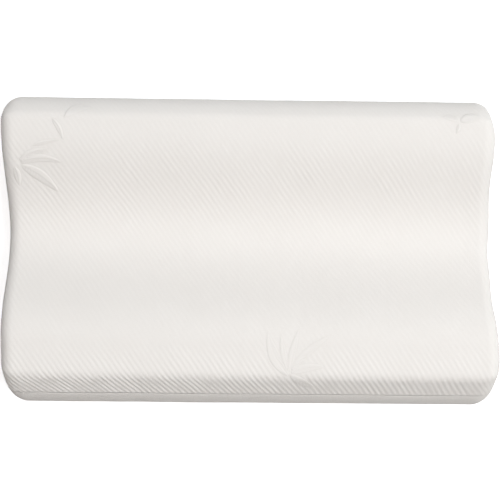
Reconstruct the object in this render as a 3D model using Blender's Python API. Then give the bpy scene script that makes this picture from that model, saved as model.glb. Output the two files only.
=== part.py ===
"""Contour memory foam pillow: one filled solid, a foam core inside a fitted knitted cover.

Metres, +Z up. X runs along the width. The tall lobe is at -Y, the low lobe at +Y.
The origin is at the middle of the flat base that the pillow lies on.
"""
import math

import bmesh
import bpy

# Plan, seen from above
WIDTH = 0.500
DEPTH = 0.317
CORNER_RADIUS = 0.0185
# How far an end runs out of square, per metre from front to back
LEFT_LEAN = 0.032
RIGHT_LEAN = 0.003
# The right end is uneven. Each row: place along Y, how far it stands out, half its length
RIGHT_END_SWELLS = (
    (0.138, -0.0022, 0.020),
    (0.075, -0.0011, 0.030),
    (0.026, 0.0021, 0.035),
    (-0.048, -0.0021, 0.035),
    (-0.105, 0.0016, 0.030),
)
# The swells fade out from the end over this share of half the width
SWELL_FADE = 0.4

# The contour, front to back: tall crest, valley for the head, low crest
FRONT_CREST_Y = -0.091
FRONT_CREST_HEIGHT = 0.1026
VALLEY_Y = 0.019
VALLEY_HEIGHT = 0.054
BACK_CREST_Y = 0.121
BACK_CREST_HEIGHT = 0.0824
# Outward of a crest the top falls by this much times the distance squared
CREST_FALL = 1.2

# Noses at the front and back: from this far inside the outline the top bends down,
# slopes to the side round, and rounds over to upright at the outline
FRONT_NOSE_REACH = 0.040
FRONT_NOSE_SLOPE = math.radians(45.0)
BACK_NOSE_REACH = 0.027
BACK_NOSE_SLOPE = math.radians(42.0)
NOSE_BEND_RADIUS = 0.014
SIDE_ROUND_REACH = 0.014
# The two ends turn down over a plain round
END_ROUND = 0.014
# How sharply an end's turn and a nose blend into each other at a corner
CORNER_BLEND = 4.0

# The side wall draws in a little towards the base and turns under it
WALL_DRAW_IN = 0.004
BASE_ROUND = 0.012
WALL_STEPS = 4
BASE_ROUND_STEPS = 4

# The seam between the top panel and the border is pressed in all round. It runs well inside
# the outline at the front, and just above the widest line at the back and the ends
FRONT_SEAM_INSET = 0.014
BACK_SEAM_INSET = 0.0006
END_SEAM_INSET = 0.0012
FRONT_SEAM_HALF_WIDTH = 0.0016
BACK_SEAM_HALF_WIDTH = 0.0004
END_SEAM_HALF_WIDTH = 0.0008
SEAM_DEPTH = 0.0010

# Rings run parallel to the outline out here, and a plain grid fills the inside
RIM_PAST_SEAM = 0.0022
RIM_TURN_STEPS = 5
CORNER_CELLS = 4
SPANS_X = 16
SPANS_Y = 34
# The rows lie closer together where the noses bend
NOSE_ROWS_REACH = 0.022
NOSE_ROWS = 8

COVER_COLOUR = (0.85, 0.82, 0.79, 1.0)
COVER_ROUGHNESS = 0.9


def clear_scene():
    for item in list(bpy.data.objects):
        bpy.data.objects.remove(item, do_unlink=True)


def ease(share):
    """A smooth way from 0 to 1, level at both ends."""
    return (1.0 - math.cos(math.pi * share)) / 2.0


def contour(y):
    """Height of the waved top at the middle of the pillow."""
    if y < FRONT_CREST_Y:
        return FRONT_CREST_HEIGHT - CREST_FALL * (y - FRONT_CREST_Y) ** 2
    if y > BACK_CREST_Y:
        return BACK_CREST_HEIGHT - CREST_FALL * (y - BACK_CREST_Y) ** 2
    if y < VALLEY_Y:
        share = ease((VALLEY_Y - y) / (VALLEY_Y - FRONT_CREST_Y))
        return VALLEY_HEIGHT + (FRONT_CREST_HEIGHT - VALLEY_HEIGHT) * share
    share = ease((y - VALLEY_Y) / (BACK_CREST_Y - VALLEY_Y))
    return VALLEY_HEIGHT + (BACK_CREST_HEIGHT - VALLEY_HEIGHT) * share


def corner_cut(distance):
    """How far a rounded corner has cut in, this far from the neighbouring side."""
    if distance >= CORNER_RADIUS:
        return 0.0
    run = CORNER_RADIUS - distance
    return CORNER_RADIUS - math.sqrt(max(0.0, CORNER_RADIUS ** 2 - run ** 2))


def arc_fall(radius, run):
    """How far a round has fallen after this much run from its level top."""
    return radius - math.sqrt(max(0.0, radius ** 2 - run ** 2))


def end_fall(inset):
    """How far an end has fallen, this far inside the outline."""
    return arc_fall(END_ROUND, min(END_ROUND, max(0.0, END_ROUND - inset)))


def nose_fall(inset, reach, slope):
    """How far a nose has fallen, this far inside the outline."""
    past = max(0.0, reach - inset)
    bend_run = NOSE_BEND_RADIUS * math.sin(slope)
    fall = arc_fall(NOSE_BEND_RADIUS, min(past, bend_run))
    fall += max(0.0, min(past, reach - SIDE_ROUND_REACH) - bend_run) * math.tan(slope)
    side_radius = SIDE_ROUND_REACH / (1.0 - math.sin(slope))
    side_run = side_radius - min(max(0.0, inset), SIDE_ROUND_REACH)
    fall += arc_fall(side_radius, side_run)
    fall -= arc_fall(side_radius, side_radius - SIDE_ROUND_REACH)
    return fall


def top_height(x, y):
    """Height of the top, with the turned ends and noses, over a point of the plan."""
    from_end = WIDTH / 2.0 - abs(x)
    from_side = DEPTH / 2.0 - abs(y)
    along_x = from_end - corner_cut(from_side)
    along_y = from_side - corner_cut(from_end)
    crown = contour(y)
    if y < 0.0:
        nose = nose_fall(along_y, FRONT_NOSE_REACH, FRONT_NOSE_SLOPE)
    else:
        nose = nose_fall(along_y, BACK_NOSE_REACH, BACK_NOSE_SLOPE)
    end = end_fall(along_x)
    return crown - (nose ** CORNER_BLEND + end ** CORNER_BLEND) ** (1.0 / CORNER_BLEND)


def spread(start, end, spans):
    """Even stops from start up to but not including end."""
    return [start + (end - start) * span / spans for span in range(spans)]


def grid_stops(half_size, spans, close_reach=0.0, close_rows=0):
    """Stops along one axis as pairs: place in the middle part, and share of the corner zone."""
    inner = half_size - CORNER_RADIUS
    open_part = inner - close_reach
    middle = spread(-inner, -open_part, close_rows)
    middle += spread(-open_part, open_part, spans)
    middle += spread(open_part, inner, close_rows)
    stops = [(-inner, share - 1.0) for share in spread(0.0, 1.0, CORNER_CELLS)]
    stops += [(place, 0.0) for place in middle]
    stops += [(inner, share) for share in spread(0.0, 1.0, CORNER_CELLS)]
    stops.append((inner, 1.0))
    return stops


def rounded(share_x, share_y):
    """A point of a square corner zone moved into a quarter circle."""
    return (share_x * math.sqrt(1.0 - share_y ** 2 / 2.0),
            share_y * math.sqrt(1.0 - share_x ** 2 / 2.0))


def rim_insets():
    """Insets of the rings that follow the outline, from the seam's inner side to the outline.

    Each row: insets at the ends, front and back, and the share of the seam's depth.
    """
    rows = []
    for across in (1.0, 0.5, 0.0, -0.5, -1.0):
        end_inset = END_SEAM_INSET + across * END_SEAM_HALF_WIDTH
        front_inset = FRONT_SEAM_INSET + across * FRONT_SEAM_HALF_WIDTH
        back_inset = BACK_SEAM_INSET + across * BACK_SEAM_HALF_WIDTH
        rows.append(((end_inset, front_inset, back_inset), ease(1.0 - abs(across))))
    last_insets = rows[-1][0]
    for step in range(1, RIM_TURN_STEPS + 1):
        share = 1.0 - math.sin(math.pi / 2.0 * step / RIM_TURN_STEPS)
        rows.append((tuple(inset * share for inset in last_insets), 0.0))
    return rows


def add_grid(bm):
    """The inside of the top. Returns its border as (corner centre, outward way, vertex)."""
    stops_x = grid_stops(WIDTH / 2.0, SPANS_X)
    stops_y = grid_stops(DEPTH / 2.0, SPANS_Y, NOSE_ROWS_REACH, NOSE_ROWS)
    radius_x = CORNER_RADIUS - END_SEAM_INSET - RIM_PAST_SEAM
    rows = []
    for centre_y, share_y in stops_y:
        nose_inset = FRONT_SEAM_INSET if centre_y < 0.0 else BACK_SEAM_INSET
        radius_y = CORNER_RADIUS - nose_inset - RIM_PAST_SEAM
        row = []
        for centre_x, share_x in stops_x:
            way_x, way_y = rounded(share_x, share_y)
            x = centre_x + radius_x * way_x
            y = centre_y + radius_y * way_y
            vertex = bm.verts.new((x, y, top_height(x, y)))
            row.append(((centre_x, centre_y), (way_x, way_y), vertex))
        rows.append(row)
    for low, high in zip(rows, rows[1:]):
        for k in range(len(low) - 1):
            bm.faces.new([low[k][2], low[k + 1][2], high[k + 1][2], high[k][2]])
    border = rows[0][:-1]
    border += [row[-1] for row in rows[:-1]]
    border += rows[-1][:0:-1]
    border += [row[0] for row in rows[:0:-1]]
    return border


def add_ring(bm, border, insets, height):
    """A ring of vertices that runs inside the outline, by its insets at ends, front and back."""
    end_inset, front_inset, back_inset = insets
    ring = []
    for (centre_x, centre_y), (way_x, way_y), _ in border:
        nose_inset = front_inset if centre_y < 0.0 else back_inset
        x = centre_x + way_x * (CORNER_RADIUS - end_inset)
        y = centre_y + way_y * (CORNER_RADIUS - nose_inset)
        ring.append(bm.verts.new((x, y, height(x, y))))
    return ring


def join_rings(bm, inner, outer):
    count = len(inner)
    for k in range(count):
        after = (k + 1) % count
        bm.faces.new([inner[k], outer[k], outer[after], inner[after]])


def add_wall(bm, border, edge):
    """The side wall under the outline, and its turn under the base. Returns the last ring."""
    rings = [edge]
    for step in range(1, WALL_STEPS + 1):
        share = step / WALL_STEPS
        inset = WALL_DRAW_IN * share ** 2
        ring = add_ring(bm, border, (inset, inset, inset), lambda x, y: 0.0)
        for vertex, above in zip(ring, edge):
            vertex.co.z = above.co.z + (BASE_ROUND - above.co.z) * share
        rings.append(ring)
    for step in range(1, BASE_ROUND_STEPS + 1):
        angle = math.pi / 2.0 * step / BASE_ROUND_STEPS
        inset = WALL_DRAW_IN + BASE_ROUND * (1.0 - math.cos(angle))
        level = BASE_ROUND * (1.0 - math.sin(angle))
        rings.append(add_ring(bm, border, (inset, inset, inset), lambda x, y, level=level: level))
    for upper, lower in zip(rings, rings[1:]):
        join_rings(bm, upper, lower)
    return rings[-1]


def press_seam(bm, rings, rows):
    """Moves the rings near the seam inward, deepest on the seam line."""
    bm.normal_update()
    moves = []
    for ring, (_, depth_share) in zip(rings, rows):
        if depth_share > 0.0:
            moves += [(vertex, vertex.normal * SEAM_DEPTH * depth_share) for vertex in ring]
    for vertex, move in moves:
        vertex.co -= move


def swell(y):
    """How far the right end stands out of its straight line at this place."""
    out = 0.0
    for place, height, half_length in RIGHT_END_SWELLS:
        share = 1.0 - abs(y - place) / half_length
        if share > 0.0:
            out += height * ease(share)
    return out


def lean_and_centre(bm):
    """Runs the ends out of square and uneven, then puts the box's middle on the origin."""
    for vertex in bm.verts:
        x, y = vertex.co.x, vertex.co.y
        right = 0.5 + x / WIDTH
        fade = min(1.0, max(0.0, 1.0 - (1.0 - 2.0 * x / WIDTH) / SWELL_FADE))
        vertex.co.x = x - y * (LEFT_LEAN * (1.0 - right) + RIGHT_LEAN * right) + fade * swell(y)
    places = [vertex.co.x for vertex in bm.verts]
    middle = (min(places) + max(places)) / 2.0
    for vertex in bm.verts:
        vertex.co.x -= middle


def cover_material():
    material = bpy.data.materials.new("knitted_cover")
    material.use_nodes = True
    shader = material.node_tree.nodes["Principled BSDF"]
    shader.inputs["Base Color"].default_value = COVER_COLOUR
    shader.inputs["Roughness"].default_value = COVER_ROUGHNESS
    shader.inputs["Metallic"].default_value = 0.0
    return material


def make_pillow():
    bm = bmesh.new()
    border = add_grid(bm)
    rows = rim_insets()
    rings = [add_ring(bm, border, insets, top_height) for insets, _ in rows]
    inner = [vertex for _, _, vertex in border]
    for ring in rings:
        join_rings(bm, inner, ring)
        inner = ring
    base = add_wall(bm, border, rings[-1])
    bm.faces.new(base[::-1])
    press_seam(bm, rings, rows)
    lean_and_centre(bm)
    bmesh.ops.recalc_face_normals(bm, faces=bm.faces)
    mesh = bpy.data.meshes.new("pillow")
    bm.to_mesh(mesh)
    bm.free()
    mesh.shade_smooth()
    mesh.materials.append(cover_material())
    pillow = bpy.data.objects.new("pillow", mesh)
    bpy.context.scene.collection.objects.link(pillow)
    return pillow


clear_scene()
make_pillow()
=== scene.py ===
"""Looks of a contour memory foam pillow in a white knitted cover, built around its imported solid."""
import math

import bpy
import numpy as np
from mathutils import Matrix, Vector


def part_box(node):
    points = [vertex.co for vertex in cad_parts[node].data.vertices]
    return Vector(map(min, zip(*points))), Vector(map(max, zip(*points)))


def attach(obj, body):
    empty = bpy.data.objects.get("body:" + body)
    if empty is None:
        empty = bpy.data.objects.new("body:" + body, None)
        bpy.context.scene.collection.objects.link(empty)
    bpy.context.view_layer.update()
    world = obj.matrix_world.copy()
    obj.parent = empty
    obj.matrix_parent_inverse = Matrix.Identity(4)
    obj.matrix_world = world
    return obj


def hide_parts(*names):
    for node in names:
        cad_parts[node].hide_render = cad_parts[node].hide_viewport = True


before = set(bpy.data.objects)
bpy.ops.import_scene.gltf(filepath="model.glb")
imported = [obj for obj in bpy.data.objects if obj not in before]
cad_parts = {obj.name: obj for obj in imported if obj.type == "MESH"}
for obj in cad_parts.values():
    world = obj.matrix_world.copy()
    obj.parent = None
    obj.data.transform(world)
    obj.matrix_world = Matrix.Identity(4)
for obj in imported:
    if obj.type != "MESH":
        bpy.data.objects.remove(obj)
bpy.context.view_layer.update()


# Top panel: white jacquard knit with fine diagonal ribs and sprigs of leaves. It is stretched
# over a moulded foam block, with a tall front lobe, a valley for the head and a low back lobe,
# and sewn to the border well down the front nose and along the widest line everywhere else.
pillow_low, pillow_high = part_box("pillow")
WIDTH = 0.500
DEPTH = pillow_high.y - pillow_low.y
CORNER_RADIUS = 0.0185
LEFT_LEAN = 0.032
RIGHT_LEAN = 0.003
# The right end is uneven. Each row: place along Y, how far it stands out, half its length
RIGHT_END_SWELLS = (
    (0.138, -0.0022, 0.020),
    (0.075, -0.0011, 0.030),
    (0.026, 0.0021, 0.035),
    (-0.048, -0.0021, 0.035),
    (-0.105, 0.0016, 0.030),
)
SWELL_FADE = 0.4
FRONT_CREST_Y = -0.091
FRONT_CREST_HEIGHT = 0.1026
VALLEY_Y = 0.019
VALLEY_HEIGHT = 0.054
BACK_CREST_Y = 0.121
BACK_CREST_HEIGHT = 0.0824
CREST_FALL = 1.2
FRONT_NOSE_REACH = 0.040
FRONT_NOSE_SLOPE = math.radians(45.0)
BACK_NOSE_REACH = 0.027
BACK_NOSE_SLOPE = math.radians(42.0)
NOSE_BEND_RADIUS = 0.014
SIDE_ROUND_REACH = 0.014
END_ROUND = 0.014
CORNER_BLEND = 4.0
FRONT_SEAM_INSET = 0.014
BACK_SEAM_INSET = 0.0006
END_SEAM_INSET = 0.0012


def ease(share):
    """A smooth way from 0 to 1, level at both ends."""
    return (1.0 - np.cos(np.pi * np.clip(share, 0.0, 1.0))) / 2.0


def contour(y):
    """Height of the waved top at the middle of the pillow."""
    front = FRONT_CREST_HEIGHT - CREST_FALL * (y - FRONT_CREST_Y) ** 2
    back = BACK_CREST_HEIGHT - CREST_FALL * (y - BACK_CREST_Y) ** 2
    front_share = ease((VALLEY_Y - y) / (VALLEY_Y - FRONT_CREST_Y))
    back_share = ease((y - VALLEY_Y) / (BACK_CREST_Y - VALLEY_Y))
    middle = VALLEY_HEIGHT + (FRONT_CREST_HEIGHT - VALLEY_HEIGHT) * front_share
    middle += (BACK_CREST_HEIGHT - VALLEY_HEIGHT) * back_share
    return np.where(y < FRONT_CREST_Y, front, np.where(y > BACK_CREST_Y, back, middle))


def arc_fall(radius, run):
    """How far a round has fallen after this much run from its level top."""
    return radius - np.sqrt(np.maximum(0.0, radius ** 2 - run ** 2))


def corner_cut(distance):
    """How far a rounded corner has cut in, this far from the neighbouring side."""
    return arc_fall(CORNER_RADIUS, np.clip(CORNER_RADIUS - distance, 0.0, CORNER_RADIUS))


def nose_fall(inset, reach, slope):
    """How far a nose has fallen, this far inside the outline."""
    past = np.maximum(0.0, reach - inset)
    bend_run = NOSE_BEND_RADIUS * math.sin(slope)
    fall = arc_fall(NOSE_BEND_RADIUS, np.minimum(past, bend_run))
    straight = np.minimum(past, reach - SIDE_ROUND_REACH) - bend_run
    fall = fall + np.maximum(0.0, straight) * math.tan(slope)
    side_radius = SIDE_ROUND_REACH / (1.0 - math.sin(slope))
    side_run = side_radius - np.clip(inset, 0.0, SIDE_ROUND_REACH)
    side_start = side_radius - SIDE_ROUND_REACH
    return fall + arc_fall(side_radius, side_run) - arc_fall(side_radius, side_start)


def top_height(x, y):
    """Height of the cover, with the turned ends and noses, over points of the plan."""
    from_end = WIDTH / 2.0 - np.abs(x)
    from_side = DEPTH / 2.0 - np.abs(y)
    along_x = from_end - corner_cut(from_side)
    along_y = from_side - corner_cut(from_end)
    front = nose_fall(along_y, FRONT_NOSE_REACH, FRONT_NOSE_SLOPE)
    back = nose_fall(along_y, BACK_NOSE_REACH, BACK_NOSE_SLOPE)
    nose = np.where(y < 0.0, front, back)
    end = arc_fall(END_ROUND, np.clip(END_ROUND - along_x, 0.0, END_ROUND))
    return contour(y) - (nose ** CORNER_BLEND + end ** CORNER_BLEND) ** (1.0 / CORNER_BLEND)


# Uneven lumps repeat after this many, and the cloth starts this many lumps into the repeat
LUMPS = 256
FIRST_LUMP = 100.0


def unevenness(u, v, lump, seed):
    """Smooth irregular lumps of this size, from -1 to 1, the same in every run."""
    lattice = np.random.default_rng(seed).uniform(-1.0, 1.0, (LUMPS, LUMPS))
    across = u / lump + FIRST_LUMP
    along = v / lump + FIRST_LUMP
    column = np.floor(across).astype(int)
    row = np.floor(along).astype(int)
    share_u = ease(across - column)
    share_v = ease(along - row)
    beside = (column + 1) % LUMPS
    above = (row + 1) % LUMPS
    column = column % LUMPS
    row = row % LUMPS
    low = lattice[row, column] * (1.0 - share_u) + lattice[row, beside] * share_u
    high = lattice[above, column] * (1.0 - share_u) + lattice[above, beside] * share_u
    return low * (1.0 - share_v) + high * share_v


FOAM_WAVE_HEIGHT = 0.00030
FOAM_WAVE_SIZE = 0.060
CLOTH_WAVE_HEIGHT = 0.00012
CLOTH_WAVE_SIZE = 0.023


def softness(x, y):
    """Long shallow waves of foam and cloth, which are never quite even."""
    foam_waves = FOAM_WAVE_HEIGHT * unevenness(x, y, FOAM_WAVE_SIZE, seed=11)
    cloth_waves = CLOTH_WAVE_HEIGHT * unevenness(x, y, CLOTH_WAVE_SIZE, seed=12)
    return foam_waves + cloth_waves


def leaned(points):
    """Runs the ends out of square and uneven, as the solid's are."""
    x, y = points[..., 0], points[..., 1]
    right = 0.5 + x / WIDTH
    swell = np.zeros_like(y)
    for place, height, half_length in RIGHT_END_SWELLS:
        swell += height * ease(1.0 - np.abs(y - place) / half_length)
    fade = np.clip(1.0 - (1.0 - 2.0 * x / WIDTH) / SWELL_FADE, 0.0, 1.0)
    moved = points.copy()
    moved[..., 0] = x - y * (LEFT_LEAN * (1.0 - right) + RIGHT_LEAN * right) + fade * swell
    return moved


def surface_normals(points):
    """Unit normals of a grid of points."""
    normals = np.cross(np.gradient(points, axis=1), np.gradient(points, axis=0))
    return normals / np.linalg.norm(normals, axis=2, keepdims=True)


def run_along(across, height):
    """How far along a line each of its points lies."""
    return np.concatenate([[0.0], np.cumsum(np.hypot(np.diff(across), np.diff(height)))])


# The mesh follows the knit: five columns to a rib, and rows as far apart as the ribs climb
RIB_PITCH = 0.0058
RIB_STEEPNESS = 1.54
STEPS_PER_RIB = 5
LINE_POINTS = 12001

inner_x = WIDTH / 2.0 - CORNER_RADIUS
inner_y = DEPTH / 2.0 - CORNER_RADIUS
end_edge = WIDTH / 2.0 - END_SEAM_INSET
front_edge = FRONT_SEAM_INSET - DEPTH / 2.0
back_edge = DEPTH / 2.0 - BACK_SEAM_INSET
section_y = np.linspace(front_edge, back_edge, LINE_POINTS)
section_run = run_along(section_y, top_height(np.zeros_like(section_y), section_y))
length_x = np.linspace(-end_edge, end_edge, LINE_POINTS)
length_run = run_along(length_x, top_height(length_x, np.zeros_like(length_x)))
column_step = RIB_PITCH / STEPS_PER_RIB
row_step = column_step * RIB_STEEPNESS
column_count = round(length_run[-1] / column_step)
row_count = round(section_run[-1] / row_step)
columns = np.interp(np.linspace(0.0, length_run[-1], column_count + 1), length_run, length_x)
row_runs = np.linspace(0.0, section_run[-1], row_count + 1)
rows = np.interp(row_runs, section_run, section_y)

# Where the plan's corners turn, square corners of the cloth are eased into the round
share_x = np.clip((np.abs(columns) - inner_x) / (end_edge - inner_x), 0.0, 1.0) * np.sign(columns)
share_y = np.clip((rows - inner_y) / (back_edge - inner_y), 0.0, 1.0)
share_y -= np.clip((-rows - inner_y) / (-front_edge - inner_y), 0.0, 1.0)
share_x, share_y = np.meshgrid(share_x, share_y)
centre_x, centre_y = np.meshgrid(np.clip(columns, -inner_x, inner_x), np.clip(rows, -inner_y, inner_y))
way_x = share_x * np.sqrt(1.0 - share_y ** 2 / 2.0)
way_y = share_y * np.sqrt(1.0 - share_x ** 2 / 2.0)
nose_radius = np.where(way_y > 0.0, back_edge - inner_y, -front_edge - inner_y)
panel_x = centre_x + way_x * (end_edge - inner_x)
panel_y = centre_y + way_y * nose_radius

# The cloth is drawn aside over the front nose, this much per metre at the left and right end
NOSE_DRAW_LEFT = 0.09
NOSE_DRAW_RIGHT = -0.18
NOSE_DRAW_FADE = 0.05
bend_run = np.interp(FRONT_NOSE_REACH - DEPTH / 2.0, section_y, section_run)
past_bend = (bend_run - row_runs)[:, None]
draw = NOSE_DRAW_LEFT + (NOSE_DRAW_RIGHT - NOSE_DRAW_LEFT) * (0.5 + panel_x / WIDTH)
slide = np.maximum(0.0, past_bend) * draw * ease((end_edge - np.abs(panel_x)) / NOSE_DRAW_FADE)
panel_x = panel_x + slide

panel = np.stack([panel_x, panel_y, top_height(panel_x, panel_y)], axis=2)
panel_normals = surface_normals(panel)
cloth_u, cloth_v = np.meshgrid(np.arange(column_count + 1) * column_step,
                               np.arange(row_count + 1) * row_step)
from_seam = np.minimum(np.minimum(cloth_u, cloth_u.max() - cloth_u),
                       np.minimum(cloth_v, cloth_v.max() - cloth_v))

# Ribs sway a little, as a share of their pitch, and stand up unevenly in patches and breaks
RIB_HEIGHT = 0.00024
RIB_SWAY = 0.09
RIB_SWAY_SIZE = 0.014
RIB_PATCHES = 0.45
RIB_PATCH_SIZE = 0.011
RIB_BREAKS = 0.35
RIB_BREAK_SIZE = 0.004
rib_turn = (cloth_u / column_step + cloth_v / row_step) / STEPS_PER_RIB
rib_turn = rib_turn + RIB_SWAY * unevenness(cloth_u, cloth_v, RIB_SWAY_SIZE, seed=21)
rib = 0.5 + 0.5 * np.cos(2.0 * np.pi * rib_turn)
rib_strength = 1.0 + RIB_PATCHES * unevenness(cloth_u, cloth_v, RIB_PATCH_SIZE, seed=22)
rib_strength += RIB_BREAKS * unevenness(cloth_u, cloth_v, RIB_BREAK_SIZE, seed=23)

# The cloth is stretched flat over the lobes. The ribs stand up a little on the slope between
# the valley and the back lobe, and fully only down the front nose.
RIB_ON_TOP = 0.35
RIB_ON_SLOPE = 0.32
SLOPE_TOP_FADE = 0.022
SLOPE_PAST_VALLEY = 0.012
SLOPE_FOOT_FADE = 0.036
RIB_NEAR_NOSE = 0.50
NEAR_NOSE_REACH = 0.031
NEAR_NOSE_FADE = 0.026
RIB_ON_NOSE_LEFT = 1.8
RIB_ON_NOSE_RIGHT = 0.15
ON_NOSE_FADE = 0.012
SEAM_FADE = 0.0030
on_slope = ease((BACK_CREST_Y - panel_y) / SLOPE_TOP_FADE)
on_slope = on_slope * ease((panel_y - VALLEY_Y + SLOPE_PAST_VALLEY) / SLOPE_FOOT_FADE)
rib_on_nose = RIB_ON_NOSE_LEFT + (RIB_ON_NOSE_RIGHT - RIB_ON_NOSE_LEFT) * (0.5 + panel_x / WIDTH)
rib_strength *= (RIB_ON_TOP + RIB_ON_SLOPE * on_slope
                 + RIB_NEAR_NOSE * ease((past_bend + NEAR_NOSE_REACH) / NEAR_NOSE_FADE)
                 + rib_on_nose * ease(past_bend / ON_NOSE_FADE))
rib_strength *= ease(from_seam / SEAM_FADE)

# Leaf figures are knitted in. A leaf has one smooth raised half, one half of small cross
# stitches and a sunken edge, and no ribs run through it. The front sprig stands out less.
# Each row: base x, base y, tip x, tip y, width, bend to the left of the way it grows
BACK_SPRIGS = (
    (-0.2290, 0.0850, -0.1945, 0.0595, 0.0110, 0.0025),
    (-0.2300, 0.0880, -0.1880, 0.0885, 0.0076, 0.0040),
    (-0.2310, 0.0900, -0.2010, 0.1010, 0.0056, 0.0025),
    (-0.2360, 0.0830, -0.2335, 0.0650, 0.0070, 0.0005),
    (-0.2160, 0.1045, -0.1900, 0.1100, 0.0040, 0.0010),
    (-0.1845, 0.1330, -0.1570, 0.1440, 0.0068, 0.0030),
    (-0.1830, 0.1370, -0.1650, 0.1475, 0.0050, 0.0015),
    (-0.1960, 0.1320, -0.1855, 0.1105, 0.0050, 0.0015),
    (0.2130, 0.1340, 0.2350, 0.1385, 0.0090, 0.0015),
    (0.2110, 0.1345, 0.1950, 0.1385, 0.0056, -0.0010),
    (0.2120, 0.1315, 0.2075, 0.1215, 0.0040, 0.0005),
)
FRONT_SPRIG = (
    (0.0370, -0.1220, 0.0170, -0.0790, 0.0115, 0.0040),
    (0.0370, -0.1190, 0.0300, -0.0810, 0.0062, 0.0010),
    (0.0380, -0.1180, 0.0480, -0.0760, 0.0066, 0.0010),
    (0.0400, -0.1160, 0.0800, -0.0810, 0.0072, 0.0025),
    (0.0400, -0.1190, 0.0735, -0.1125, 0.0078, 0.0020),
    (0.0395, -0.1215, 0.0635, -0.1340, 0.0078, -0.0010),
)
BACK_SHOW = 1.0
FRONT_SHOW = 0.6
LEAF_RISE = 0.00020
LEAF_FIELD_REACH = 0.004
LEAF_WIDEST = 0.8
LEAF_FULLNESS = 0.75
LEAF_EDGE_WIDTH = 0.0020
RIB_END_WIDTH = 0.0016
RIB_END_SHIFT = 0.9
BACK_LEAVES = [(*leaf, BACK_SHOW) for leaf in BACK_SPRIGS]
FRONT_LEAVES = [(*leaf, FRONT_SHOW) for leaf in FRONT_SPRIG]

# For every point: distance inside the nearest leaf's edge, and its place in that leaf
leaf_edge = np.full_like(panel_x, -LEAF_FIELD_REACH)
leaf_along = np.zeros_like(panel_x)
leaf_aside = np.zeros_like(panel_x)
leaf_show = np.ones_like(panel_x)
for base_x, base_y, tip_x, tip_y, width, bend, show in BACK_LEAVES + FRONT_LEAVES:
    length = math.hypot(tip_x - base_x, tip_y - base_y)
    unit_x = (tip_x - base_x) / length
    unit_y = (tip_y - base_y) / length
    along = (panel_x - base_x) * unit_x + (panel_y - base_y) * unit_y
    share = np.clip(along / length, 0.0, 1.0)
    aside = -(panel_x - base_x) * unit_y + (panel_y - base_y) * unit_x
    aside = aside - bend * np.sin(np.pi * share)
    half_width = width / 2.0 * np.sin(np.pi * share ** LEAF_WIDEST) ** LEAF_FULLNESS
    beyond = np.maximum(np.maximum(-along, along - length), 0.0)
    inside = half_width - np.hypot(aside, beyond)
    nearer = inside > leaf_edge
    leaf_edge = np.where(nearer, inside, leaf_edge)
    leaf_along = np.where(nearer, along, leaf_along)
    leaf_aside = np.where(nearer, aside, leaf_aside)
    leaf_show = np.where(nearer, show, leaf_show)

leaf_body = ease(leaf_edge / LEAF_EDGE_WIDTH + 0.5)
rib_strength *= 1.0 - ease(leaf_edge / RIB_END_WIDTH + RIB_END_SHIFT)

# The panel rolls down a little at the seam, which draws its edge in
PANEL_ROLL = 0.0030
PANEL_ROLL_DEPTH = 0.0002
SEAM_DEPTH = 0.0003
TURNED_IN = 0.0002
lift = RIB_HEIGHT * rib_strength * (rib - 0.5)
lift += LEAF_RISE * leaf_show * leaf_body * ease(from_seam / SEAM_FADE)
lift += softness(panel_x, panel_y) - PANEL_ROLL_DEPTH * ease(1.0 - from_seam / PANEL_ROLL)
panel = leaned(panel + panel_normals * lift[..., None])
centring = pillow_low.x - leaned(np.array([[-WIDTH / 2.0, inner_y, 0.0]]))[0, 0]
panel[..., 0] += centring


def border_of(grid):
    """The edge of a grid, once round, anticlockwise from its first corner."""
    return np.concatenate([grid[0, :-1], grid[:-1, -1], grid[-1, :0:-1], grid[:0:-1, 0]])


def mesh_object(name, points, faces, cloth, values=None):
    """A smooth mesh with its place on the cloth in metres and named values at its points."""
    mesh = bpy.data.meshes.new(name)
    mesh.from_pydata(points.tolist(), [], faces.tolist())
    mesh.shade_smooth()
    corners = np.empty(len(mesh.loops), dtype=np.int32)
    mesh.loops.foreach_get("vertex_index", corners)
    layer = mesh.uv_layers.new(name="cloth")
    layer.data.foreach_set("uv", cloth[corners].astype(np.float32).ravel())
    for key, value in (values or {}).items():
        mesh.attributes.new(key, "FLOAT", "POINT").data.foreach_set("value", value.astype(np.float32))
    piece = bpy.data.objects.new(name, mesh)
    bpy.context.scene.collection.objects.link(piece)
    return piece


# The edge of the panel is turned in, down to the bottom of the seam
edge = border_of(panel)
edge_inward = edge.mean(axis=0) - edge
edge_inward[:, 2] = 0.0
edge_inward /= np.linalg.norm(edge_inward, axis=1, keepdims=True)
turned_in = edge - border_of(panel_normals) * (SEAM_DEPTH - PANEL_ROLL_DEPTH)
turned_in = turned_in + edge_inward * TURNED_IN
index = np.arange(panel_x.size).reshape(panel_x.shape)
here = index[:-1, :-1]
beside = index[:-1, 1:]
above = index[1:, :-1]
across = index[1:, 1:]
edge_index = border_of(index)
turned_index = panel_x.size + np.arange(len(edge))
panel_faces = np.concatenate([
    np.stack([here, beside, above], axis=2).reshape(-1, 3),
    np.stack([beside, across, above], axis=2).reshape(-1, 3),
    np.stack([edge_index, turned_index, np.roll(turned_index, -1)], axis=1),
    np.stack([edge_index, np.roll(turned_index, -1), np.roll(edge_index, -1)], axis=1),
])
cloth = np.stack([cloth_u, cloth_v], axis=2)
panel_values = {"rib": rib_strength * rib, "leaf_edge": leaf_edge,
                "leaf_along": leaf_along, "leaf_aside": leaf_aside, "leaf_show": leaf_show}
top_panel = mesh_object(
    "jacquard_top", np.concatenate([panel.reshape(-1, 3), turned_in]), panel_faces,
    np.concatenate([cloth.reshape(-1, 2), border_of(cloth)]),
    {key: np.concatenate([value.ravel(), border_of(value)]) for key, value in panel_values.items()})


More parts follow.
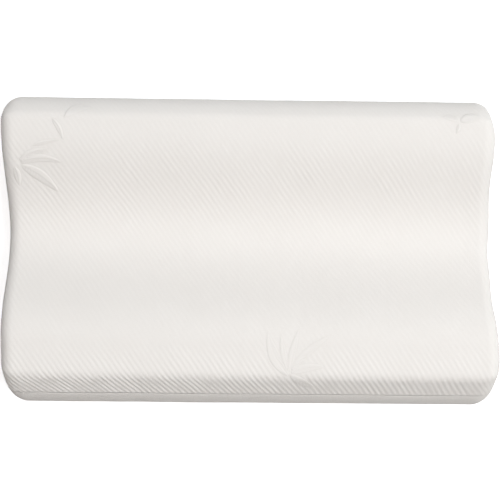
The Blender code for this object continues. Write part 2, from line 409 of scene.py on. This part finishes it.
def new_group(name, inputs, outputs):
    """An empty shader node group with its sockets. Returns the group, its input and output."""
    group = bpy.data.node_groups.new(name, "ShaderNodeTree")
    for socket, kind, value in inputs:
        made = group.interface.new_socket(socket, in_out="INPUT", socket_type=kind)
        if value is not None:
            made.default_value = value
    for socket, kind in outputs:
        group.interface.new_socket(socket, in_out="OUTPUT", socket_type=kind)
    return group, group.nodes.new("NodeGroupInput"), group.nodes.new("NodeGroupOutput")


def maths(tree, operation, *values):
    """A maths node fed with sockets or numbers. Returns its result."""
    node = tree.nodes.new("ShaderNodeMath")
    node.operation = operation
    for socket, value in zip(node.inputs, values):
        if isinstance(value, bpy.types.NodeSocket):
            tree.links.new(value, socket)
        else:
            socket.default_value = value
    return node.outputs[0]


def smooth_step(tree, value, start, end):
    """0 before the start, 1 after the end and smooth between."""
    node = tree.nodes.new("ShaderNodeMapRange")
    node.interpolation_type = "SMOOTHSTEP"
    node.inputs["From Min"].default_value = start
    node.inputs["From Max"].default_value = end
    tree.links.new(value, node.inputs["Value"])
    return node.outputs["Result"]


def noise(tree, cloth_socket, scale, detail):
    """Cloudy noise over the cloth, from 0 to 1."""
    node = tree.nodes.new("ShaderNodeTexNoise")
    node.inputs["Scale"].default_value = scale
    node.inputs["Detail"].default_value = detail
    tree.links.new(cloth_socket, node.inputs["Vector"])
    return node.outputs["Fac"]


# Rows of small V stitches: 0 in the gaps, 1 on top of the yarn
STITCH_SWAY_SCALE = 420.0
STITCH_V_SLOPE = 1.6
STITCH_GAP_SLOPE = 5.0
STITCH_GAP_ROUND = 0.3
STITCH_FULLNESS = 0.6
knit_stitch, given, out = new_group(
    "knit_stitch",
    [("Cloth", "NodeSocketVector", None), ("Width", "NodeSocketFloat", 0.0011),
     ("Height", "NodeSocketFloat", 0.0009), ("Unevenness", "NodeSocketFloat", 0.25)],
    [("Yarn", "NodeSocketFloat")])
split = knit_stitch.nodes.new("ShaderNodeSeparateXYZ")
knit_stitch.links.new(given.outputs["Cloth"], split.inputs[0])
sway = maths(knit_stitch, "MULTIPLY", noise(knit_stitch, given.outputs["Cloth"], STITCH_SWAY_SCALE, 1.0),
             given.outputs["Unevenness"])
wale = maths(knit_stitch, "DIVIDE", split.outputs["X"], given.outputs["Width"])
wale = maths(knit_stitch, "PINGPONG", maths(knit_stitch, "ADD", wale, sway), 0.5)
course = maths(knit_stitch, "DIVIDE", split.outputs["Y"], given.outputs["Height"])
course = maths(knit_stitch, "MULTIPLY_ADD", wale, STITCH_V_SLOPE, maths(knit_stitch, "ADD", course, sway))
course = maths(knit_stitch, "MULTIPLY", maths(knit_stitch, "PINGPONG", course, 0.5), 2.0)
gap = maths(knit_stitch, "MULTIPLY", wale, STITCH_GAP_SLOPE)
gap = maths(knit_stitch, "SMOOTH_MIN", gap, 1.0, STITCH_GAP_ROUND)
yarn = maths(knit_stitch, "MULTIPLY", maths(knit_stitch, "POWER", course, STITCH_FULLNESS), gap)
knit_stitch.links.new(yarn, out.inputs["Yarn"])

# Soft random unevenness of the yarn's whiteness, from a warm shade to a clean light. A third input adds
# painted light and shade on top of it.
BROAD_TONE_SCALE = 14.0
BROAD_TONE = 0.4
FINE_TONE_SCALE = 700.0
FINE_TONE = 0.3
yarn_tone_and_painted_light, given, out = new_group(
    "yarn_tone_and_painted_light",
    [("Cloth", "NodeSocketVector", None), ("Shade", "NodeSocketColor", (0.8, 0.8, 0.8, 1.0)),
     ("Light", "NodeSocketColor", (0.9, 0.9, 0.9, 1.0)), ("Raised", "NodeSocketFloat", 0.5)],
    [("Color", "NodeSocketColor")])
broad = noise(yarn_tone_and_painted_light, given.outputs["Cloth"], BROAD_TONE_SCALE, 3.0)
broad = maths(yarn_tone_and_painted_light, "MULTIPLY_ADD", broad, BROAD_TONE, -BROAD_TONE / 2.0)
fine = noise(yarn_tone_and_painted_light, given.outputs["Cloth"], FINE_TONE_SCALE, 2.0)
fine = maths(yarn_tone_and_painted_light, "MULTIPLY_ADD", fine, FINE_TONE, -FINE_TONE / 2.0)
level = maths(yarn_tone_and_painted_light, "ADD", maths(yarn_tone_and_painted_light, "ADD", broad, fine), given.outputs["Raised"])
mix = yarn_tone_and_painted_light.nodes.new("ShaderNodeMix")
mix.data_type = "RGBA"
mix.clamp_factor = True
yarn_tone_and_painted_light.links.new(level, mix.inputs["Factor"])
yarn_tone_and_painted_light.links.new(given.outputs["Shade"], mix.inputs["A"])
yarn_tone_and_painted_light.links.new(given.outputs["Light"], mix.inputs["B"])
yarn_tone_and_painted_light.links.new(mix.outputs["Result"], out.inputs["Color"])

# A leaf's fine relief from its edge distance and places: outline, smooth half, stitched half
GROOVE_PLACE = 0.0003
GROOVE_WIDTH = 0.0010
GROOVE_DEPTH = 0.25
CROSS_STITCH_PITCH = 0.0017
CROSS_STITCH_SLANT = 0.8
CROSS_STITCH_RISE = 1.8
SMOOTH_HALF_RISE = 0.6
PLUMP_RISE = 0.5
PLUMP_WIDTH = 0.0016
EDGE_OUTSIDE = 0.0001
EDGE_INSIDE = 0.0004
MIDRIB_HALF_WIDTH = 0.0003
leaf_relief, given, out = new_group(
    "leaf_relief",
    [("Edge", "NodeSocketFloat", 0.0), ("Along", "NodeSocketFloat", 0.0), ("Aside", "NodeSocketFloat", 0.0)],
    [("Mask", "NodeSocketFloat"), ("Height", "NodeSocketFloat"), ("Groove", "NodeSocketFloat")])
body = smooth_step(leaf_relief, given.outputs["Edge"], -EDGE_OUTSIDE, EDGE_INSIDE)
to_groove = maths(leaf_relief, "ABSOLUTE", maths(leaf_relief, "ADD", given.outputs["Edge"], GROOVE_PLACE))
groove = smooth_step(leaf_relief, maths(leaf_relief, "MULTIPLY", to_groove, -1.0), -GROOVE_WIDTH, 0.0)
smooth_half = smooth_step(leaf_relief, given.outputs["Aside"], -MIDRIB_HALF_WIDTH, MIDRIB_HALF_WIDTH)
stitch = maths(leaf_relief, "MULTIPLY_ADD", given.outputs["Aside"], CROSS_STITCH_SLANT,
               given.outputs["Along"])
stitch = maths(leaf_relief, "PINGPONG", maths(leaf_relief, "DIVIDE", stitch, CROSS_STITCH_PITCH), 0.5)
stitched = maths(leaf_relief, "MULTIPLY", stitch, CROSS_STITCH_RISE)
plump = smooth_step(leaf_relief, given.outputs["Edge"], 0.0, PLUMP_WIDTH)
smooth_rise = maths(leaf_relief, "MULTIPLY_ADD", plump, PLUMP_RISE, SMOOTH_HALF_RISE)
halves = leaf_relief.nodes.new("ShaderNodeMix")
leaf_relief.links.new(smooth_half, halves.inputs["Factor"])
leaf_relief.links.new(stitched, halves.inputs["A"])
leaf_relief.links.new(smooth_rise, halves.inputs["B"])
height = maths(leaf_relief, "MULTIPLY", halves.outputs["Result"], body)
leaf_relief.links.new(body, out.inputs["Mask"])
height = maths(leaf_relief, "MULTIPLY_ADD", groove, -GROOVE_DEPTH, height)
leaf_relief.links.new(height, out.inputs["Height"])
leaf_relief.links.new(groove, out.inputs["Groove"])


def cloth_material(name, roughness, sheen):
    """A fabric material. Returns it with its node tree, shader and cloth coordinates."""
    material = bpy.data.materials.new(name)
    material.use_nodes = True
    tree = material.node_tree
    shader = tree.nodes["Principled BSDF"]
    shader.inputs["Roughness"].default_value = roughness
    shader.inputs["Specular IOR Level"].default_value = 0.2
    shader.inputs["Sheen Weight"].default_value = sheen
    shader.inputs["Sheen Roughness"].default_value = 0.6
    coordinates = tree.nodes.new("ShaderNodeUVMap")
    coordinates.uv_map = "cloth"
    return material, tree, shader, coordinates.outputs["UV"]


def placed(tree, group, links, **values):
    """A group set in a material, with its linked sockets and its own values."""
    node = tree.nodes.new("ShaderNodeGroup")
    node.node_tree = group
    for key, socket in links.items():
        tree.links.new(socket, node.inputs[key])
    for key, value in values.items():
        node.inputs[key].default_value = value
    return node


def point_value(tree, name):
    """A value kept at the mesh's points."""
    node = tree.nodes.new("ShaderNodeAttribute")
    node.attribute_name = name
    return node.outputs["Fac"]


def add_bump(tree, shader, height, distance):
    """Gives the shader a relief this far from gap to top."""
    bump = tree.nodes.new("ShaderNodeBump")
    bump.inputs["Distance"].default_value = distance
    tree.links.new(height, bump.inputs["Height"])
    tree.links.new(bump.outputs["Normal"], shader.inputs["Normal"])


# Painted light and shade in the top panel's colour: rib crests are painted lighter and the furrows between
# them darker, most of all down the front nose towards the left. Leaf bodies get a painted sheen and their
# sunken edges a painted shade.
RIB_PAINTED_SHADE = (0.79, 0.752, 0.714, 1.0)
RIB_PAINTED_LIGHT = (0.86, 0.826, 0.792, 1.0)
KNIT_RELIEF = 0.00030
STITCHES_IN_RELIEF = 0.3
PAINTED_LIGHT_IN_FURROW = 0.35
PAINTED_LIGHT_ON_RIB = 0.3
LEAF_PAINTED_SHEEN_AND_SHADE = 0.15
jacquard, tree, shader, on_cloth = cloth_material("jacquard_knit", 0.9, 0.04)
leaf = placed(tree, leaf_relief, {"Edge": point_value(tree, "leaf_edge"),
                                  "Along": point_value(tree, "leaf_along"),
                                  "Aside": point_value(tree, "leaf_aside")})
painted_light_level = maths(tree, "MULTIPLY_ADD", point_value(tree, "rib"), PAINTED_LIGHT_ON_RIB, PAINTED_LIGHT_IN_FURROW)
painted_light_level = maths(tree, "MULTIPLY_ADD", leaf.outputs["Mask"], LEAF_PAINTED_SHEEN_AND_SHADE, painted_light_level)
painted_light_level = maths(tree, "MULTIPLY_ADD", leaf.outputs["Groove"], -LEAF_PAINTED_SHEEN_AND_SHADE, painted_light_level)
tone = placed(tree, yarn_tone_and_painted_light, {"Cloth": on_cloth, "Raised": painted_light_level}, Shade=RIB_PAINTED_SHADE, Light=RIB_PAINTED_LIGHT)
tree.links.new(tone.outputs["Color"], shader.inputs["Base Color"])
stitches = placed(tree, knit_stitch, {"Cloth": on_cloth}, Width=0.0011, Height=0.0009, Unevenness=0.3)
relief = maths(tree, "MULTIPLY", stitches.outputs["Yarn"], STITCHES_IN_RELIEF)
relief = maths(tree, "MULTIPLY_ADD", leaf.outputs["Height"], point_value(tree, "leaf_show"), relief)
add_bump(tree, shader, relief, KNIT_RELIEF)
top_panel.data.materials.append(jacquard)
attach(top_panel, "root")
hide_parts("pillow")


# Border: a strip of plain, smooth knit sewn to the top panel all round. It starts under the
# panel's edge, rolls over the outline, runs down the walls and turns under the base.
SIDE_COLUMNS = 190
END_COLUMNS = 90
CORNER_COLUMNS = 16
# The columns lie closer together where the outline drops towards a corner
DROP_REACH = 0.016
DROP_COLUMNS = 14
side_stops = np.linspace(-inner_x, inner_x, SIDE_COLUMNS)
drop_stops = DROP_REACH * (np.arange(DROP_COLUMNS) / DROP_COLUMNS) ** 2 - inner_y
middle_stops = np.linspace(DROP_REACH - inner_y, inner_y - DROP_REACH, END_COLUMNS)
end_stops = np.concatenate([drop_stops, middle_stops, -drop_stops[::-1]])
turns = np.linspace(0.0, math.pi / 2.0, CORNER_COLUMNS + 1)[1:-1]
sides = (
    (side_stops, np.full_like(side_stops, -inner_y)),
    (np.full_like(end_stops, inner_x), end_stops),
    (-side_stops, np.full_like(side_stops, inner_y)),
    (np.full_like(end_stops, -inner_x), -end_stops),
)
side_centres = []
side_angles = []
for quarter, (side_x, side_y) in enumerate(sides):
    start = (quarter - 1.0) * math.pi / 2.0
    side_centres.append(np.stack([side_x, side_y], axis=1))
    side_centres.append(np.tile([[side_x[-1], side_y[-1]]], (len(turns), 1)))
    side_angles.append(np.full(len(side_x), start))
    side_angles.append(start + turns)
edge_centre = np.concatenate(side_centres)
edge_angle = np.concatenate(side_angles)
edge_way = np.stack([np.cos(edge_angle), np.sin(edge_angle)], axis=1)


def ring(end_inset, front_inset, back_inset):
    """Plan points that run this far inside the outline at the ends, front and back."""
    nose_inset = np.where(edge_way[:, 1] < 0.0, front_inset, back_inset)
    x = edge_centre[:, 0] + edge_way[:, 0] * (CORNER_RADIUS - end_inset)
    y = edge_centre[:, 1] + edge_way[:, 1] * (CORNER_RADIUS - nose_inset)
    return x, y


border_rows = []
press = []


def add_row(x, y, z, pressed):
    """Adds a row round the border, and how deep the seam presses it in."""
    border_rows.append(np.stack([x, y, z], axis=1))
    press.append(pressed)


# The first row is tucked under the panel. The next ones rise out of the seam to the outline.
TUCK = 0.0010
TUCK_DEPTH = 0.0012
SEAM_ROWS = 6
FRONT_SEAM_SPAN = 0.0030
BACK_SEAM_SPAN = 0.0004
END_SEAM_SPAN = 0.0008
OUTLINE_ROWS = 10
x, y = ring(END_SEAM_INSET + TUCK, FRONT_SEAM_INSET + TUCK, BACK_SEAM_INSET + TUCK)
add_row(x, y, top_height(x, y), TUCK_DEPTH)
for step in range(SEAM_ROWS):
    share = step / SEAM_ROWS
    x, y = ring(END_SEAM_INSET - share * END_SEAM_SPAN, FRONT_SEAM_INSET - share * FRONT_SEAM_SPAN,
                BACK_SEAM_INSET - share * BACK_SEAM_SPAN)
    add_row(x, y, top_height(x, y), SEAM_DEPTH * (1.0 - share) ** 3)
for step in range(OUTLINE_ROWS + 1):
    share = 1.0 - math.sin(math.pi / 2.0 * step / OUTLINE_ROWS)
    x, y = ring((END_SEAM_INSET - END_SEAM_SPAN) * share, (FRONT_SEAM_INSET - FRONT_SEAM_SPAN) * share,
                (BACK_SEAM_INSET - BACK_SEAM_SPAN) * share)
    add_row(x, y, top_height(x, y), 0.0)
outline = border_rows[-1]

# The wall is upright down to this height, draws in below it and turns under the base
WALL_UPRIGHT_TO = 0.040
WALL_DRAW_IN = 0.004
BASE_ROUND = 0.012
WALL_ROWS = 16
BASE_ROUND_ROWS = 6
for step in range(1, WALL_ROWS + 1):
    share = step / WALL_ROWS
    z = outline[:, 2] + (BASE_ROUND - outline[:, 2]) * share
    below = np.clip((WALL_UPRIGHT_TO - z) / (WALL_UPRIGHT_TO - BASE_ROUND), 0.0, 1.0)
    inset = WALL_DRAW_IN * below ** 2
    x, y = ring(inset, inset, inset)
    add_row(x, y, z, 0.0)
for step in range(1, BASE_ROUND_ROWS + 1):
    angle = math.pi / 2.0 * step / BASE_ROUND_ROWS
    inset = WALL_DRAW_IN + BASE_ROUND * (1.0 - math.cos(angle))
    x, y = ring(inset, inset, inset)
    z = np.full_like(x, BASE_ROUND * (1.0 - math.sin(angle)))
    add_row(x, y, z, 0.0)

SOFT_ABOVE = 0.02
border = np.stack(border_rows)
closed = np.concatenate([border[:, -1:], border, border[:, :1]], axis=1)
border_normals = -surface_normals(closed)[:, 1:-1]
soft = softness(border[..., 0], border[..., 1]) * ease(border[..., 2] / SOFT_ABOVE)
border = leaned(border + border_normals * (soft - np.array(press)[:, None])[..., None])
border[..., 0] += centring
index = np.arange(border.shape[0] * border.shape[1]).reshape(border.shape[:2])
after = np.roll(index, -1, axis=1)
border_faces = np.stack([index[:-1], index[1:], after[1:], after[:-1]], axis=2).reshape(-1, 4)
run_round = np.concatenate([[0.0], np.cumsum(np.linalg.norm(np.diff(outline, axis=0), axis=1))])
column = border[:, SIDE_COLUMNS // 2]
run_down = np.concatenate([[0.0], np.cumsum(np.linalg.norm(np.diff(column, axis=0), axis=1))])
border_cloth = np.stack(np.meshgrid(run_round, run_down), axis=2).reshape(-1, 2)
border_piece = mesh_object("border_band", border.reshape(-1, 3), border_faces, border_cloth)

BORDER_SHADE = (0.79, 0.752, 0.714, 1.0)
BORDER_LIGHT = (0.84, 0.805, 0.77, 1.0)
PLAIN_KNIT_RELIEF = 0.00008
plain_knit, tree, shader, on_cloth = cloth_material("plain_knit", 0.92, 0.04)
tone = placed(tree, yarn_tone_and_painted_light, {"Cloth": on_cloth}, Shade=BORDER_SHADE, Light=BORDER_LIGHT, Raised=0.4)
tree.links.new(tone.outputs["Color"], shader.inputs["Base Color"])
stitches = placed(tree, knit_stitch, {"Cloth": on_cloth}, Width=0.0009, Height=0.0007, Unevenness=0.2)
add_bump(tree, shader, stitches.outputs["Yarn"], PLAIN_KNIT_RELIEF)
border_piece.data.materials.append(plain_knit)
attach(border_piece, "root")
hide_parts("pillow")


# Underside: a flat panel of the same plain knit, closed against the border's last row.
# The pillow lies on it, so it is flat all over.
base_ring = border[-1]
base_faces = np.arange(len(base_ring))[None, ::-1]
base_piece = mesh_object("underside_panel", base_ring, base_faces, base_ring[:, :2])
base_piece.data.materials.append(plain_knit)
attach(base_piece, "root")
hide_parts("pillow")


# Stage: a plain pale floor that looks lit through, as a light table does, and runs out to white.
# Broad soft lights stand above, to the right and at the back. The camera is almost straight above.
FLOOR_SIZE = 40.0
FLOOR_DROP = 0.0002
FLOOR_COLOUR = (0.9, 0.9, 0.9, 1.0)
FLOOR_GLOW = 0.45
FADE_START = 1.0
FADE_END = 3.5
floor_mesh = bpy.data.meshes.new("floor")
half = FLOOR_SIZE / 2.0
floor_mesh.from_pydata([(-half, -half, 0.0), (half, -half, 0.0), (half, half, 0.0), (-half, half, 0.0)],
                       [], [(0, 1, 2, 3)])
floor = bpy.data.objects.new("floor", floor_mesh)
bpy.context.scene.collection.objects.link(floor)
floor.location.z = -FLOOR_DROP
floor_material = bpy.data.materials.new("pale_floor")
floor_material.use_nodes = True
floor_shader = floor_material.node_tree.nodes["Principled BSDF"]
floor_shader.inputs["Base Color"].default_value = FLOOR_COLOUR
floor_shader.inputs["Roughness"].default_value = 1.0
floor_shader.inputs["Specular IOR Level"].default_value = 0.0
floor_shader.inputs["Emission Strength"].default_value = 1.0
floor_tree = floor_material.node_tree
floor_place = floor_tree.nodes.new("ShaderNodeTexCoord")
floor_distance = floor_tree.nodes.new("ShaderNodeVectorMath")
floor_distance.operation = "LENGTH"
floor_tree.links.new(floor_place.outputs["Object"], floor_distance.inputs[0])
floor_far = smooth_step(floor_tree, floor_distance.outputs["Value"], FADE_START, FADE_END)
floor_glow = maths(floor_tree, "MULTIPLY_ADD", floor_far, 1.0 - FLOOR_GLOW, FLOOR_GLOW)
floor_rays = floor_tree.nodes.new("ShaderNodeLightPath")
floor_glow = maths(floor_tree, "MULTIPLY", floor_rays.outputs["Is Camera Ray"], floor_glow)
floor_tree.links.new(floor_glow, floor_shader.inputs["Emission Color"])
floor_mesh.materials.append(floor_material)

# Angles in degrees, and the focal length in pixels of the photo
CAMERA_PLACE = (-0.01068, 0.01130, 1.00797)
CAMERA_PITCH = -0.590
CAMERA_YAW = -0.752
CAMERA_ROLL = 0.637
FOCAL_PIXELS = 919.1
FRAME_PIXELS = 500.0
SENSOR_WIDTH = 36.0
camera_data = bpy.data.cameras.new("camera")
camera_data.sensor_width = SENSOR_WIDTH
camera_data.lens = FOCAL_PIXELS / FRAME_PIXELS * SENSOR_WIDTH
camera = bpy.data.objects.new("camera", camera_data)
turn = (Matrix.Rotation(math.radians(CAMERA_PITCH), 4, "X")
        @ Matrix.Rotation(math.radians(CAMERA_YAW), 4, "Y")
        @ Matrix.Rotation(math.radians(CAMERA_ROLL), 4, "Z"))
camera.matrix_world = Matrix.Translation(CAMERA_PLACE) @ turn
bpy.context.scene.collection.objects.link(camera)
bpy.context.scene.camera = camera

# Square soft lights that point at the pillow. Each row: name, place, watts, colour
SOFTBOX_SIZE = 2.0
SOFTBOXES = (
    ("top_light", (0.0, 0.0, 4.5), 64.5, (1.0, 0.89, 0.83)),
    ("right_light", (2.25, 0.0, 3.9), 142.5, (0.942, 0.982, 1.0)),
    ("back_light", (0.0, 2.25, 3.9), 59.5, (0.838, 0.931, 1.0)),
)
for light_name, place, watts, light_colour in SOFTBOXES:
    light = bpy.data.lights.new(light_name, "AREA")
    light.shape = "SQUARE"
    light.size = SOFTBOX_SIZE
    light.energy = watts
    light.color = light_colour
    lamp = bpy.data.objects.new(light_name, light)
    lamp.location = place
    lamp.rotation_euler = (-Vector(place)).to_track_quat("-Z", "Y").to_euler()
    bpy.context.scene.collection.objects.link(lamp)

# The background is white for the camera and gives no light
world = bpy.data.worlds.new("studio")
world.use_nodes = True
background = world.node_tree.nodes["Background"]
background.inputs["Color"].default_value = (1.0, 1.0, 1.0, 1.0)
world_rays = world.node_tree.nodes.new("ShaderNodeLightPath")
world.node_tree.links.new(world_rays.outputs["Is Camera Ray"], background.inputs["Strength"])
bpy.context.scene.world = world
bpy.context.scene.view_settings.view_transform = "Standard"
